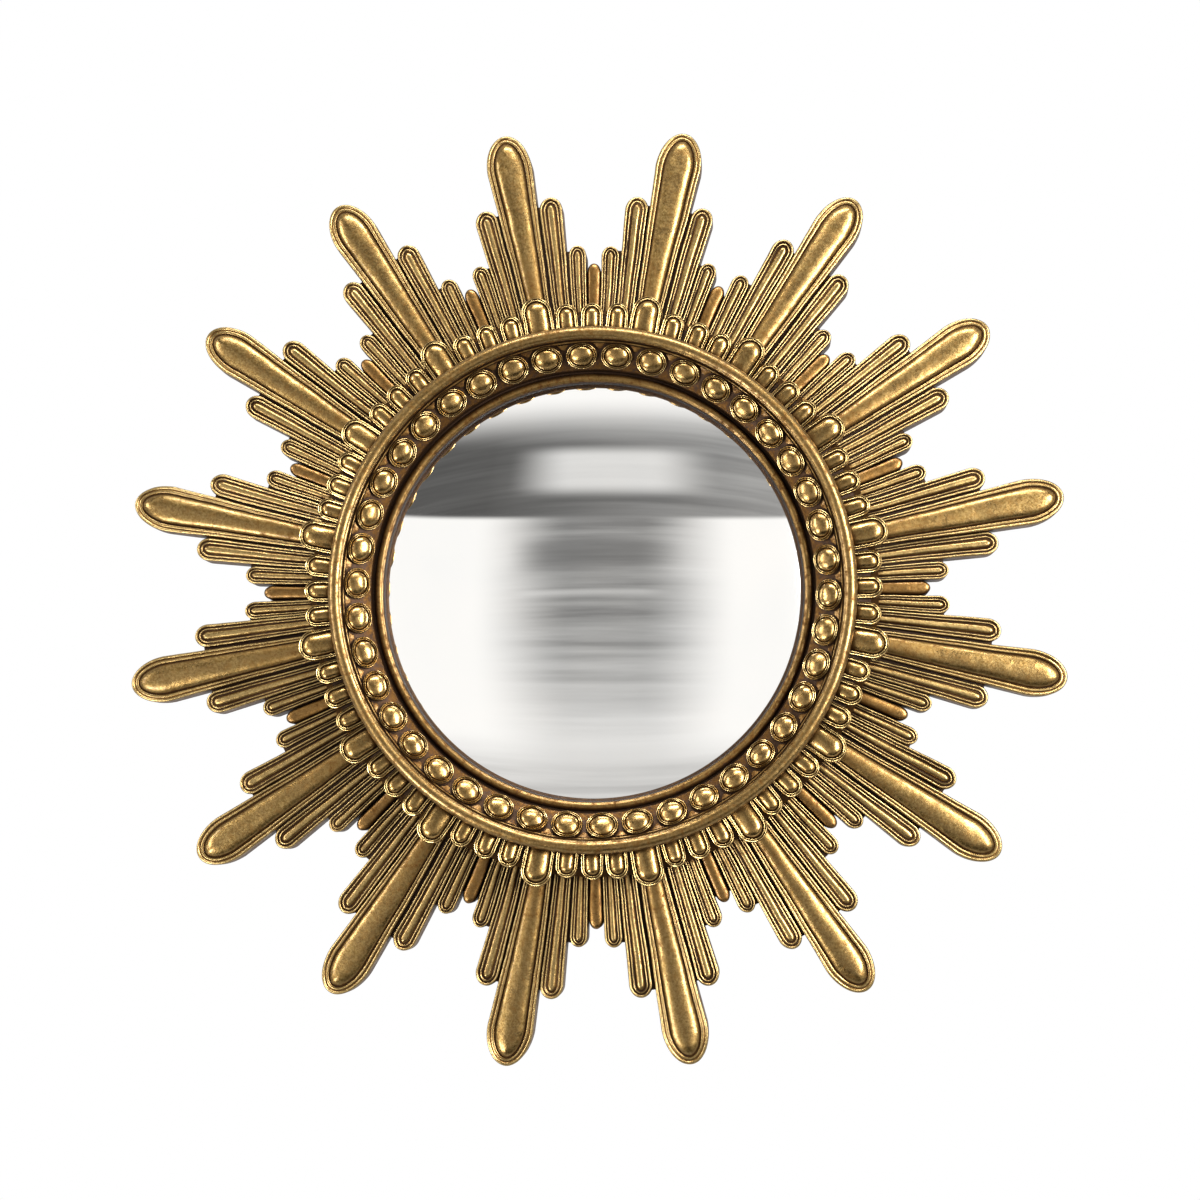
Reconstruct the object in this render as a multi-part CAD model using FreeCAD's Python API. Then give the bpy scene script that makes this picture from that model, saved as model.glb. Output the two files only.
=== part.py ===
import FreeCAD, Part
import math
import os
from FreeCAD import Vector

# A wall mirror of the sunburst kind: a convex glass in a turned and gilded ring, set with domed
# beads, round it a collar of carved lobes, and behind that sixteen carved fans of rays.
#
# The wall is the plane y = 0 and the front looks along -Y, with +Z up and the origin on the
# mirror's axis. A "height" here is a distance in front of the wall, so y = -height, and a
# "clock" angle runs clockwise from the top as the viewer sees it. Lengths are millimetres.

# ---- counts ----
SECTORS = 16              # fans of rays, and the darts between them
BEADS = 42
BUTTONS = 6               # turn buttons that hold the back board
RING_SCREWS = 6
PADS = 4

# ---- general clearances ----
JOINT_GAP = 0.3           # between carved pieces that are glued side by side
SCREW_GAP = 0.05          # round a screw's shank, on the radius
RUNNING_GAP = 0.06        # between a pin and what turns on it, on the radius
BOARD_GAP = 1.0           # round the back board, on the radius
GLASS_GAP = 0.5           # round the glass, on the radius
OVERCUT = 1.0             # how far a cut runs past the face that it starts from
DEEP = 40.0               # more than any carved piece's thickness

# ---- the stack, from the wall forwards ----
PAD_T = 6.0               # rubber pads, which keep the fittings off the wall
BACKING_T = 10.0          # plywood ring that carries everything
BACK_BOARD_T = 3.0
TIP_T = 11.0              # the long rays' thickness at their tips
LEAN = 6.3                # degrees by which the rays fall back from the collar to their tips

# ---- turned ring ----
SIGHT_R = 131.2           # radius of the glass that shows
SIGHT_ROLL_R = 3.3        # half width of the small roll round the glass
SIGHT_ROLL_ABOVE_LEDGE = 3.2
LEDGE_ABOVE_BACKING = 28.0
REBATE_OVERLAP = 6.8      # how far the ledge covers the rebate, on the radius
QUIRK_W = 1.5             # groove between the small roll and the beads' bed
QUIRK_D = 1.5
BED_W = 17.1              # the beads' bed, seen from the front
BED_LEAN = 22.0           # degrees by which the bed looks inwards
BED_ABOVE_LEDGE = 10.2    # inner edge of the bed
OUTER_ROLL_R = 4.3
OUTER_ROLL_ABOVE_BED = 2.8
# where each roll's arc starts and ends, in degrees from straight out, through the front
SIGHT_ROLL_ARC = (215.0, -15.0)
OUTER_ROLL_ARC = (205.0, -90.0)
LEDGE_LIP = 0.8           # from the opening out to the ledge's sharp edge, under the small roll

# ---- beads ----
BEAD_START = 6.06         # clock angle of the first bead
BEAD_SPACE = 2.4          # between two beads, along the bed
COLLET_T = 3.0
COLLET_WALL = 1.5
COLLET_FLOOR = 1.4
DOME_MOAT = 0.9           # groove between a collet and its dome
DOME_H = 4.6
DOME_SUNK = 0.2           # a carved core or dome is sunk this far into its floor
BEAD_SIDE_GAP = 0.4       # between a collet and the two edges of its bed
BEAD_SEAT_GAP = 0.03      # between a bead's flat base and the hollow bed, at the base's two sides
SPANDREL_W = 8.0          # small raised triangles between the beads, against the outer roll
SPANDREL_D = 4.6
SPANDREL_T = 0.9
SPANDREL_SUNK = 1.0
SPANDREL_UNDER_ROLL = 0.6

# ---- collar of lobes ----
LARGE_LOBE_REACH = 22.8   # past the outer roll's widest point
SMALL_LOBE_REACH = 15.6
LARGE_LOBE_HALF = 9.3
SMALL_LOBE_HALF = 6.6
SIDE_LOBE_AT = 5.95       # degrees from a long ray to the small lobe beside it
LOBE_T = 8.0
LOBE_RIM = 2.4
LOBE_MOAT = 1.0
LOBE_POCKET = 2.2
LOBE_SWELL = 0.63         # height of a lobe's dome above its pocket, as a share of its half width
LOBE_NOSE = 1.03          # length of a lobe's rounded end, as a share of its half width
COLLAR_FOOT_REACH = 13.5  # past the outer roll's widest point
COLLAR_FOOT_T = 3.0
COLLAR_WAIST_REACH = 8.5
COLLAR_COVE = 4.0         # height of the slope between foot and waist
COLLAR_WEB = 1.0          # between a lobe's pocket and the top of the waist
COLLAR_LET_IN = 1.8       # how deep the collar's foot is let into the long rays

# ---- rays: how far each kind shows past the large lobes ----
LONG_REACH = 112.9
MEDIUM_REACH = 68.0
SMALL_REACH = 34.4
DART_REACH = 22.7
# a ray's half width in degrees of the circle, at its root and where its rounded nose begins
LONG_ROOT, LONG_SHOULDER, LONG_NOSE = 2.0, 3.02, 24.0
MEDIUM_ROOT, MEDIUM_SHOULDER, MEDIUM_NOSE = 1.6, 1.72, 8.8
SMALL_ROOT, SMALL_SHOULDER, SMALL_NOSE = 1.46, 1.52, 6.8
DART_HALF, DART_NOSE = 1.26, 6.4
MEDIUM_AT = 4.85          # degrees from the long ray
SMALL_AT = 8.3
# how much lower a ray's face lies than the long ray's
MEDIUM_DROP = 1.8
SMALL_DROP = 2.8
DART_DROP = 4.2
# the carved relief on a ray's face
LONG_POCKET_SHARE, LONG_CORE_SHARE = 0.79, 0.56   # of the ray's half width
RIB_POCKET_SHARE, RIB_CORE_SHARE = 0.66, 0.26
LONG_RIM_AT_TIP, LONG_GROOVE_AT_TIP = 2.7, 2.0
RIB_RIM_AT_TIP, RIB_GROOVE_AT_TIP = 2.2, 2.1
LONG_CORE_SWELL = 0.55    # a core's height as a share of its half width
RIB_CORE_SWELL = 1.25
DART_SWELL = 0.7
POCKET_D = 2.4
ROOT_SPARE = 2.0          # a blank starts this far inside the root that it is trimmed to
# the webs, which close the fan between its rays
WEB_DROP = 7.5
WEB_BACK_FROM_TIP = 5.0
SMALL_WEB_BACK_FROM_TIP = 3.0
DART_GAP = 0.1            # degrees between a dart and the webs beside it

# ---- glass and what holds it ----
GLASS_T = 3.0
GLASS_BULGE = 22.0
GASKET_T = 0.6
GASKET_W = 5.0
GASKET_GAP = 0.05         # between the felt and the glass
SPACER_WALL = 5.0
SPACER_GAP = 0.3

# ---- backing ring ----
BACKING_IN_PAST_REBATE = 11.0
BACKING_OUT_PAST_LOBES = 17.0

# ---- fittings ----
SCREW_R = 1.75
SCREW_HEAD_R = 3.4
SCREW_HEAD_T = 2.2
SCREW_POINT_R = 0.3
SCREW_POINT_L = 2.5
HOLE_PAST_POINT = 0.5
FAN_SCREW_L = 24.0
RING_SCREW_L = 26.0
SHORT_SCREW_L = 9.0
FAN_SCREW_INSETS = (12.0, 33.0)   # from the fan's inner end to its two screws
RING_SCREW_INSET = 6.0            # from the ring's outer wall in to its screws
BUTTON_L = 19.0                   # from pivot to tip centre
BUTTON_R = 5.0
BUTTON_TIP_R = 3.6
BUTTON_T = 1.5
BUTTON_LIFT = 0.1                 # between a button and the boards that it turns over
BUTTON_PIVOT_OUT = 8.5            # from the back board's edge to a button's pivot
PAN_HEAD_R = 3.6
PAN_HEAD_T = 1.3
PAN_HEAD_ROUND = 0.65
STRAP_L = 34.0
STRAP_W = 11.0
STRAP_T = 1.2
STRAP_SCREW_INSETS = (6.0, 25.0)  # from the strap's lower end
WIRE_R = 1.25
RING_HALF_W = 11.0
RING_DROP = 19.0
RING_CORNER = 3.0
KNUCKLE_INSET = 9.0               # from the backing ring's outer edge in to the knuckle's axis
PAD_R = 8.0
PAD_INSET = 11.0                  # from the backing ring's outer edge to a pad's centre

# ---- worked out from the above ----
SECTOR = 360.0 / SECTORS
FAN_ANGLES = [(fan + 0.5) * SECTOR for fan in range(SECTORS)]
BACK_FACE = PAD_T                                   # height of the backing ring's rear face
BED_FACE = BACK_FACE + BACKING_T                    # height of its front, where the carving sits
TIP_FACE = BED_FACE + TIP_T
REBATE_R = SIGHT_R + REBATE_OVERLAP
LEDGE_H = BED_FACE + LEDGE_ABOVE_BACKING
SIGHT_ROLL_AT = SIGHT_R + SIGHT_ROLL_R
SIGHT_ROLL_H = LEDGE_H + SIGHT_ROLL_ABOVE_LEDGE
BED_IN = SIGHT_ROLL_AT + SIGHT_ROLL_R + QUIRK_W
BED_OUT = BED_IN + BED_W
BED_IN_H = LEDGE_H + BED_ABOVE_LEDGE
BED_OUT_H = BED_IN_H + BED_W * math.tan(math.radians(BED_LEAN))
OUTER_ROLL_AT = BED_OUT + OUTER_ROLL_R              # also the ring's outer wall
OUTER_ROLL_H = BED_OUT_H + OUTER_ROLL_ABOVE_BED
ROLL_EDGE = OUTER_ROLL_AT + OUTER_ROLL_R
BEAD_AT = (BED_IN + BED_OUT) / 2
BEAD_HALF_W = math.pi * BEAD_AT / BEADS - BEAD_SPACE / 2
BED_HOLLOW = BEAD_HALF_W ** 2 / (2 * BEAD_AT) * math.tan(math.radians(BED_LEAN))   # under a bead
BEAD_H = (BED_IN_H + BED_OUT_H) / 2 + BED_HOLLOW + BEAD_SEAT_GAP
BEAD_HALF_D = BED_W / 2 / math.cos(math.radians(BED_LEAN)) - BEAD_SIDE_GAP
LARGE_LOBE_TIP = ROLL_EDGE + LARGE_LOBE_REACH
SMALL_LOBE_TIP = ROLL_EDGE + SMALL_LOBE_REACH
LONG_TIP = LARGE_LOBE_TIP + LONG_REACH
MEDIUM_TIP = LARGE_LOBE_TIP + MEDIUM_REACH
SMALL_TIP = LARGE_LOBE_TIP + SMALL_REACH
DART_TIP = LARGE_LOBE_TIP + DART_REACH
ROOT = OUTER_ROLL_AT + JOINT_GAP                    # inner radius of the collar and of the fans
BLANK_ROOT = ROOT - ROOT_SPARE
COLLAR_FOOT = ROLL_EDGE + COLLAR_FOOT_REACH
COLLAR_WAIST = ROLL_EDGE + COLLAR_WAIST_REACH
LOBE_FACE = OUTER_ROLL_H - OUTER_ROLL_R - JOINT_GAP
LOBE_SEAT = LOBE_FACE - LOBE_POCKET - COLLAR_WEB
RAY_RISE = (LONG_TIP - COLLAR_FOOT) * math.tan(math.radians(LEAN))
COLLAR_REAR = TIP_FACE + RAY_RISE - COLLAR_LET_IN
BACKING_IN = REBATE_R + BACKING_IN_PAST_REBATE
BACKING_OUT = LARGE_LOBE_TIP + BACKING_OUT_PAST_LOBES
BOARD_R = BACKING_IN - BOARD_GAP
GLASS_R = REBATE_R - GLASS_GAP
GLASS_SPHERE = (GLASS_R ** 2 + GLASS_BULGE ** 2) / (2 * GLASS_BULGE)
GLASS_EDGE_H = LEDGE_H - GASKET_T - (GLASS_R ** 2 - SIGHT_R ** 2) / (2 * GLASS_SPHERE)
GLASS_CENTRE_H = GLASS_EDGE_H - math.sqrt(GLASS_SPHERE ** 2 - GLASS_R ** 2)
SPACER_R = GLASS_R - GLASS_GAP
BUTTON_PIVOT = BOARD_R + BUTTON_PIVOT_OUT
KNUCKLE_R = WIRE_R + RUNNING_GAP + STRAP_T
KNUCKLE_AT = BACKING_OUT - KNUCKLE_INSET
KNUCKLE_H = BACK_FACE - KNUCKLE_R
STRAP_LOW = KNUCKLE_AT - STRAP_L
HOLE_R = SCREW_R + SCREW_GAP


def spots(count, radius, first=0.0):
    """The clock angles and the radius of a ring of fittings."""
    return [(first + i * 360.0 / count, radius) for i in range(count)]


# ---- where the fittings stand: (clock angle, radius) ----
FAN_SPOTS = [(angle, ROOT + inset) for angle in FAN_ANGLES for inset in FAN_SCREW_INSETS]
RING_SPOTS = spots(RING_SCREWS, OUTER_ROLL_AT - RING_SCREW_INSET, 90.0 / RING_SCREWS)
BUTTON_SPOTS = spots(BUTTONS, BUTTON_PIVOT, 180.0 / BUTTONS)
STRAP_SPOTS = [(0.0, STRAP_LOW + inset) for inset in STRAP_SCREW_INSETS]
PAD_SPOTS = spots(PADS, BACKING_OUT - PAD_INSET, 180.0 / PADS)


def at(radius, side=0.0, height=0.0):
    """A point above the top of the dial: radius up, side to the viewer's right."""
    return Vector(side, -height, radius)


def clock(shape, degrees):
    """A copy of the shape, turned clockwise about the mirror's axis."""
    turned = shape.copy()
    turned.rotate(Vector(0, 0, 0), Vector(0, 1, 0), degrees)
    return turned


def placed_at(shape, spot, height):
    """A copy of a shape that was made at the centre, at a fitting's spot and height."""
    angle, radius = spot
    moved = shape.copy()
    moved.translate(at(radius, 0, height))
    return clock(moved, angle)


def rod(radius, low, high, out=0.0):
    """A round bar square to the wall, between two heights."""
    return Part.makeCylinder(radius, high - low, at(out, 0, low), Vector(0, -1, 0))


def washer(inner, outer, low, high):
    return rod(outer, low, high).cut(rod(inner, low - OVERCUT, high + OVERCUT))


def line(a, b):
    return Part.LineSegment(a, b).toShape()


def outline_face(edges):
    return Part.Face(Part.Wire(Part.__sortEdges__(edges)))


def scaled(shape, side, height, radius):
    """A copy of a shape, stretched along its three directions."""
    stretch = FreeCAD.Matrix()
    stretch.A11, stretch.A22, stretch.A33 = side, height, radius
    return shape.transformGeometry(stretch)


def roll_arc(middle, radius, ends):
    """Three points of a roll's arc in a turned section, from one angle to another."""
    angles = [math.radians(a) for a in (ends[0], (ends[0] + ends[1]) / 2, ends[1])]
    return [(middle[0] + radius * math.cos(a), middle[1] + radius * math.sin(a)) for a in angles]


def turned_section(*steps):
    """A solid turned from (radius, height) corners, in which a list of three is an arc."""
    runs = [[at(radius, 0, height) for radius, height in (step if isinstance(step, list) else [step])]
            for step in steps]
    edges = [Part.Arc(*run).toShape() for run in runs if len(run) == 3]
    edges += [line(run[-1], following[0]) for run, following in zip(runs, runs[1:] + runs[:1])]
    return outline_face(edges).revolve(Vector(0, 0, 0), Vector(0, 1, 0), 360)


def half_outline(root, tip, root_half, shoulder_half, nose):
    """The right half of a tongue's edge: a straight side and a quarter of an oval nose."""
    middle, side, end = at(tip - nose), at(tip - nose, shoulder_half), at(tip)
    oval = Part.Ellipse(end, side, middle) if nose > shoulder_half else Part.Ellipse(side, end, middle)
    return [line(at(root, root_half), side), Part.Arc(oval, 0.0, math.pi / 2).toShape()]


def tongue(root, tip, root_half, shoulder_half, nose, thickness):
    """A flat tongue with a rounded nose, its face at height 0 and its body behind that."""
    right = half_outline(root, tip, root_half, shoulder_half, nose)
    left = [edge.mirror(Vector(0, 0, 0), Vector(1, 0, 0)) for edge in right]
    base = line(at(root, -root_half), at(root, root_half))
    return outline_face(right + left + [base]).extrude(Vector(0, thickness, 0))


def swell(root, tip, root_half, shoulder_half, nose, ratio):
    """A convex core over a tongue's outline: turned about the centre line, then flattened."""
    right = half_outline(root, tip, root_half, shoulder_half, nose)
    closing = [line(at(root), at(tip)), line(at(root), at(root, root_half))]
    body = outline_face(right + closing).revolve(Vector(0, 0, 0), Vector(0, 0, 1), 360)
    return scaled(body, 1.0, ratio, 1.0)


def half_at(radius, degrees):
    return radius * math.tan(math.radians(degrees))


def leaned(shape, face):
    """A carved piece at its face's height, leaning back towards the tips."""
    moved = shape.copy()
    moved.translate(at(0, 0, face))
    moved.rotate(at(LONG_TIP, 0, face), Vector(1, 0, 0), -LEAN)
    return moved


class Ray:
    """One ray's outline at the top of the dial, and the carving of its face."""

    def __init__(self, tip, root_degrees, shoulder_degrees, nose, drop):
        self.tip = tip
        self.nose = nose
        self.face = TIP_FACE - drop
        self.root_half = half_at(ROOT, root_degrees)
        self.shoulder_half = half_at(tip - nose, shoulder_degrees)

    def inner(self, share, from_tip):
        """The outline of a narrower tongue inside this one."""
        return (BLANK_ROOT, self.tip - from_tip, self.root_half * share,
                self.shoulder_half * share, self.nose * share)

    def blank(self):
        return tongue(*self.inner(1.0, 0.0), DEEP)

    def carved(self, pocket_share, core_share, rim_at_tip, groove_at_tip, core_swell):
        """The ray with a rim, a sunk groove inside it, and a convex core along the middle."""
        pocket = tongue(*self.inner(pocket_share, rim_at_tip), POCKET_D)
        core = swell(*self.inner(core_share, rim_at_tip + groove_at_tip), core_swell)
        core.translate(at(0, 0, -POCKET_D))
        return leaned(self.blank().cut(pocket).fuse(core), self.face)

    def domed(self, dome_swell):
        """The ray as one plain convex tongue."""
        sunk = Part.makeBox(DEEP, DEEP, self.tip, Vector(-DEEP / 2, POCKET_D, 0))
        crown = swell(*self.inner(1.0, 0.0), dome_swell)
        crown.translate(at(0, 0, -POCKET_D))
        return leaned(self.blank().common(sunk).fuse(crown), self.face)


LONG = Ray(LONG_TIP, LONG_ROOT, LONG_SHOULDER, LONG_NOSE, 0.0)
MEDIUM = Ray(MEDIUM_TIP, MEDIUM_ROOT, MEDIUM_SHOULDER, MEDIUM_NOSE, MEDIUM_DROP)
SMALL = Ray(SMALL_TIP, SMALL_ROOT, SMALL_SHOULDER, SMALL_NOSE, SMALL_DROP)
DART = Ray(DART_TIP, DART_HALF, DART_HALF, DART_NOSE, DART_DROP)


def web(half_degrees, outer):
    """A plate behind the rays, closing the fan between them out to a radius."""
    lean_out = math.radians(half_degrees)
    ends = [(radius * math.cos(lean_out), radius * math.sin(lean_out))
            for radius in (BLANK_ROOT, outer)]
    (low, low_side), (high, high_side) = ends
    edges = [Part.Arc(at(high, -high_side), at(outer), at(high, high_side)).toShape(),
             line(at(high, high_side), at(low, low_side)),
             line(at(low, low_side), at(low, -low_side)),
             line(at(low, -low_side), at(high, -high_side))]
    return leaned(outline_face(edges).extrude(Vector(0, DEEP, 0)), TIP_FACE - WEB_DROP)


def trim(shape):
    """Cut a carved piece flat behind, round at its root, and flat where the collar sits on it."""
    room = washer(ROOT, LONG_TIP + OVERCUT, BED_FACE, BED_FACE + 2 * DEEP)
    seat = washer(BLANK_ROOT, COLLAR_FOOT + JOINT_GAP, COLLAR_REAR, COLLAR_REAR + DEEP)
    return shape.common(room).cut(seat)


def ray_fan():
    """One carved fan: a long ray between two medium and two small ones, all in one piece."""
    carving = [LONG.carved(LONG_POCKET_SHARE, LONG_CORE_SHARE, LONG_RIM_AT_TIP,
                           LONG_GROOVE_AT_TIP, LONG_CORE_SWELL)]
    for ray, angle in ((MEDIUM, MEDIUM_AT), (SMALL, SMALL_AT)):
        rib = ray.carved(RIB_POCKET_SHARE, RIB_CORE_SHARE, RIB_RIM_AT_TIP,
                         RIB_GROOVE_AT_TIP, RIB_CORE_SWELL)
        carving += [clock(rib, angle), clock(rib, -angle)]
    carving += [web(MEDIUM_AT, MEDIUM_TIP - WEB_BACK_FROM_TIP),
                web(SMALL_AT, SMALL_TIP - SMALL_WEB_BACK_FROM_TIP),
                web(SECTOR / 2 - DART_HALF - DART_GAP, DART_TIP - WEB_BACK_FROM_TIP)]
    hole_top = BACK_FACE + FAN_SCREW_L + HOLE_PAST_POINT
    holes = [rod(HOLE_R, BED_FACE - OVERCUT, hole_top, ROOT + inset) for inset in FAN_SCREW_INSETS]
    return trim(carving[0].fuse(carving[1:])).cut(holes)


def dart():
    """The short plain ray that closes the joint between two fans."""
    return trim(DART.domed(DART_SWELL))


def ring_moulding():
    """The turned ring: rebate behind, small roll at the glass, beads' bed and outer roll."""
    quirk_floor = SIGHT_ROLL_H - QUIRK_D
    ring = turned_section(
        (OUTER_ROLL_AT, BED_FACE), (REBATE_R, BED_FACE), (REBATE_R, LEDGE_H),
        (SIGHT_R + LEDGE_LIP, LEDGE_H),
        roll_arc((SIGHT_ROLL_AT, SIGHT_ROLL_H), SIGHT_ROLL_R, SIGHT_ROLL_ARC),
        (BED_IN - QUIRK_W / 2, quirk_floor), (BED_IN, quirk_floor),
        (BED_IN, BED_IN_H), (BED_OUT, BED_OUT_H),
        roll_arc((OUTER_ROLL_AT, OUTER_ROLL_H), OUTER_ROLL_R, OUTER_ROLL_ARC))
    triangle = spandrel()
    half_step = 180.0 / BEADS
    triangles = [clock(triangle, angle + half_step) for angle, _ in spots(BEADS, 0, BEAD_START)]
    hole = rod(HOLE_R, BED_FACE - OVERCUT, BACK_FACE + RING_SCREW_L + HOLE_PAST_POINT)
    return ring.fuse(triangles).cut([placed_at(hole, spot, 0) for spot in RING_SPOTS])


def spandrel():
    """A small raised triangle on the beads' bed, its base under the outer roll."""
    peak = at(BED_OUT - SPANDREL_D)
    left, right = [at(BED_OUT + SPANDREL_UNDER_ROLL, side * SPANDREL_W / 2) for side in (-1, 1)]
    face = outline_face([line(peak, left), line(left, right), line(right, peak)])
    solid = face.extrude(at(0, 0, SPANDREL_T + SPANDREL_SUNK))
    solid.translate(at(0, 0, BED_OUT_H - SPANDREL_SUNK))
    solid.rotate(at(BED_OUT, 0, BED_OUT_H), Vector(1, 0, 0), BED_LEAN)
    return solid


def bead():
    """One bead: a thin oval collet round a polished dome, on the bed's slope."""
    inner_w, inner_d = BEAD_HALF_W - COLLET_WALL, BEAD_HALF_D - COLLET_WALL
    cup = scaled(rod(1.0, 0, COLLET_T), BEAD_HALF_W, 1.0, BEAD_HALF_D)
    cup = cup.cut(scaled(rod(1.0, COLLET_FLOOR, COLLET_T + OVERCUT), inner_w, 1.0, inner_d))
    dome_foot = COLLET_FLOOR - DOME_SUNK
    ball = scaled(Part.makeSphere(1.0), inner_w - DOME_MOAT, DOME_H - dome_foot, inner_d - DOME_MOAT)
    ball.translate(at(0, 0, dome_foot))
    dome = ball.common(rod(BEAD_HALF_W, dome_foot, DOME_H))
    whole = cup.fuse(dome)
    whole.rotate(Vector(0, 0, 0), Vector(1, 0, 0), BED_LEAN)
    whole.translate(at(BEAD_AT, 0, BEAD_H))
    return whole


def lobe(tip, half):
    """One lobe of the collar: a rim, a groove and a glossy dome."""
    pocket_half = half - LOBE_RIM
    core_half = pocket_half - LOBE_MOAT
    body = tongue(ROOT, tip, half, half, half * LOBE_NOSE, LOBE_T)
    pocket = tongue(ROOT, tip - LOBE_RIM, pocket_half, pocket_half, pocket_half * LOBE_NOSE,
                    LOBE_POCKET)
    core = swell(ROOT, tip - LOBE_RIM - LOBE_MOAT, core_half, core_half, core_half * LOBE_NOSE,
                 LOBE_SWELL)
    core.translate(at(0, 0, -LOBE_POCKET))
    whole = body.cut(pocket).fuse(core)
    whole.translate(at(0, 0, LOBE_FACE))
    return whole


def lobe_collar():
    """The collar: a turned ring with sixty-four lobes in one piece, slipped round the ring."""
    base = turned_section(
        (ROOT, COLLAR_REAR), (COLLAR_FOOT, COLLAR_REAR), (COLLAR_FOOT, COLLAR_REAR + COLLAR_FOOT_T),
        (COLLAR_WAIST, COLLAR_REAR + COLLAR_FOOT_T + COLLAR_COVE),
        (COLLAR_WAIST, LOBE_SEAT), (ROOT, LOBE_SEAT))
    large = lobe(LARGE_LOBE_TIP, LARGE_LOBE_HALF)
    small = lobe(SMALL_LOBE_TIP, SMALL_LOBE_HALF)
    lobes = []
    for middle in FAN_ANGLES:
        lobes += [clock(large, middle), clock(small, middle - SECTOR / 2),
                  clock(small, middle - SIDE_LOBE_AT), clock(small, middle + SIDE_LOBE_AT)]
    bore = rod(ROOT, COLLAR_REAR - OVERCUT, LOBE_FACE + DEEP)
    under_roll = rod(ROLL_EDGE + JOINT_GAP, LOBE_FACE, LOBE_FACE + DEEP)
    return base.fuse(lobes).cut([bore, under_roll])


def glass_ball(past_front):
    """The ball whose cap is the glass's front, larger or smaller by a distance."""
    return Part.makeSphere(GLASS_SPHERE + past_front, at(0, 0, GLASS_CENTRE_H))


def mirror_glass():
    """The convex glass, an even shell silvered on its back."""
    room = rod(GLASS_R, GLASS_EDGE_H - 2 * GLASS_T, GLASS_EDGE_H + GLASS_BULGE + OVERCUT)
    return glass_ball(0).cut(glass_ball(-GLASS_T)).common(room)


def glass_gasket():
    """A felt ring between the ledge and the glass's edge."""
    return washer(SPACER_R - GASKET_W, SPACER_R, GLASS_EDGE_H, LEDGE_H).cut(glass_ball(GASKET_GAP))


def spacer_ring():
    """A bent wood ring that presses the glass's edge forwards and carries the back board."""
    return washer(SPACER_R - SPACER_WALL, SPACER_R, BACK_FACE + BACK_BOARD_T,
                  GLASS_EDGE_H - GLASS_T - SPACER_GAP)


def back_board():
    return rod(BOARD_R, BACK_FACE, BACK_FACE + BACK_BOARD_T)


def backing_ring():
    """The plywood ring: every carved piece is screwed or glued to its front."""
    board = washer(BACKING_IN, BACKING_OUT, BACK_FACE, BED_FACE)
    sunk_head = Part.makeCone(SCREW_HEAD_R + SCREW_GAP, HOLE_R, SCREW_HEAD_T, at(0), Vector(0, -1, 0))
    through = sunk_head.fuse(rod(HOLE_R, SCREW_HEAD_T, BACKING_T + OVERCUT))
    blind = rod(HOLE_R, -OVERCUT, SHORT_SCREW_L)
    holes = [placed_at(through, spot, BACK_FACE) for spot in FAN_SPOTS + RING_SPOTS]
    holes += [placed_at(blind, spot, BACK_FACE) for spot in BUTTON_SPOTS + STRAP_SPOTS]
    return board.cut(holes)


def wood_screw(head, shank_start, length):
    """A screw driven from behind at the centre: its head, a plain shank and a point."""
    shank = rod(SCREW_R, shank_start, length - SCREW_POINT_L)
    point = Part.makeCone(SCREW_R, SCREW_POINT_R, SCREW_POINT_L, at(0, 0, length - SCREW_POINT_L),
                          Vector(0, -1, 0))
    return head.fuse([shank, point])


def countersunk(length):
    """A screw whose head is flush with height 0."""
    head = Part.makeCone(SCREW_HEAD_R, SCREW_R, SCREW_HEAD_T, at(0), Vector(0, -1, 0))
    return wood_screw(head, SCREW_HEAD_T, length)


def round_headed(length):
    """A screw whose head stands behind height 0."""
    head = rod(PAN_HEAD_R, -PAN_HEAD_T, 0)
    rear_edge = max(head.Edges, key=lambda edge: edge.CenterOfMass.y)
    return wood_screw(head.makeFillet(PAN_HEAD_ROUND, [rear_edge]), 0, length)


def turn_button():
    """A brass turn button at the top of the dial, its tip over the back board."""
    rear = BACK_FACE - BUTTON_LIFT - BUTTON_T
    pivot, tip = BUTTON_PIVOT, BUTTON_PIVOT - BUTTON_L
    taper = math.asin((BUTTON_R - BUTTON_TIP_R) / BUTTON_L)
    corners = [at(centre - radius * math.sin(taper), side * radius * math.cos(taper))
               for centre, radius in ((pivot, BUTTON_R), (tip, BUTTON_TIP_R)) for side in (1, -1)]
    edges = [line(corners[0], corners[2]), line(corners[1], corners[3]),
             Part.Arc(corners[2], at(tip - BUTTON_TIP_R), corners[3]).toShape(),
             Part.Arc(corners[1], at(pivot + BUTTON_R), corners[0]).toShape()]
    plate = outline_face(edges).extrude(at(0, 0, BUTTON_T))
    plate.translate(at(0, 0, rear))
    return plate.cut(rod(SCREW_R + RUNNING_GAP, rear - OVERCUT, BACK_FACE, pivot))


def cross_bar(radius, width):
    """A round bar along the knuckle's axis."""
    return Part.makeCylinder(radius, width, at(KNUCKLE_AT, -width / 2, KNUCKLE_H), Vector(1, 0, 0))


def strap_hanger():
    """The folded steel strap: a plate under two screws and a knuckle round the ring's bar."""
    plate = Part.makeBox(STRAP_W, STRAP_T, STRAP_L, at(STRAP_LOW, -STRAP_W / 2, BACK_FACE))
    holes = [placed_at(rod(HOLE_R, -OVERCUT, STRAP_T + OVERCUT), spot, BACK_FACE - STRAP_T)
             for spot in STRAP_SPOTS]
    bore = cross_bar(WIRE_R + RUNNING_GAP, STRAP_W + 2 * OVERCUT)
    return plate.fuse(cross_bar(KNUCKLE_R, STRAP_W)).cut([bore] + holes)


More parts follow.
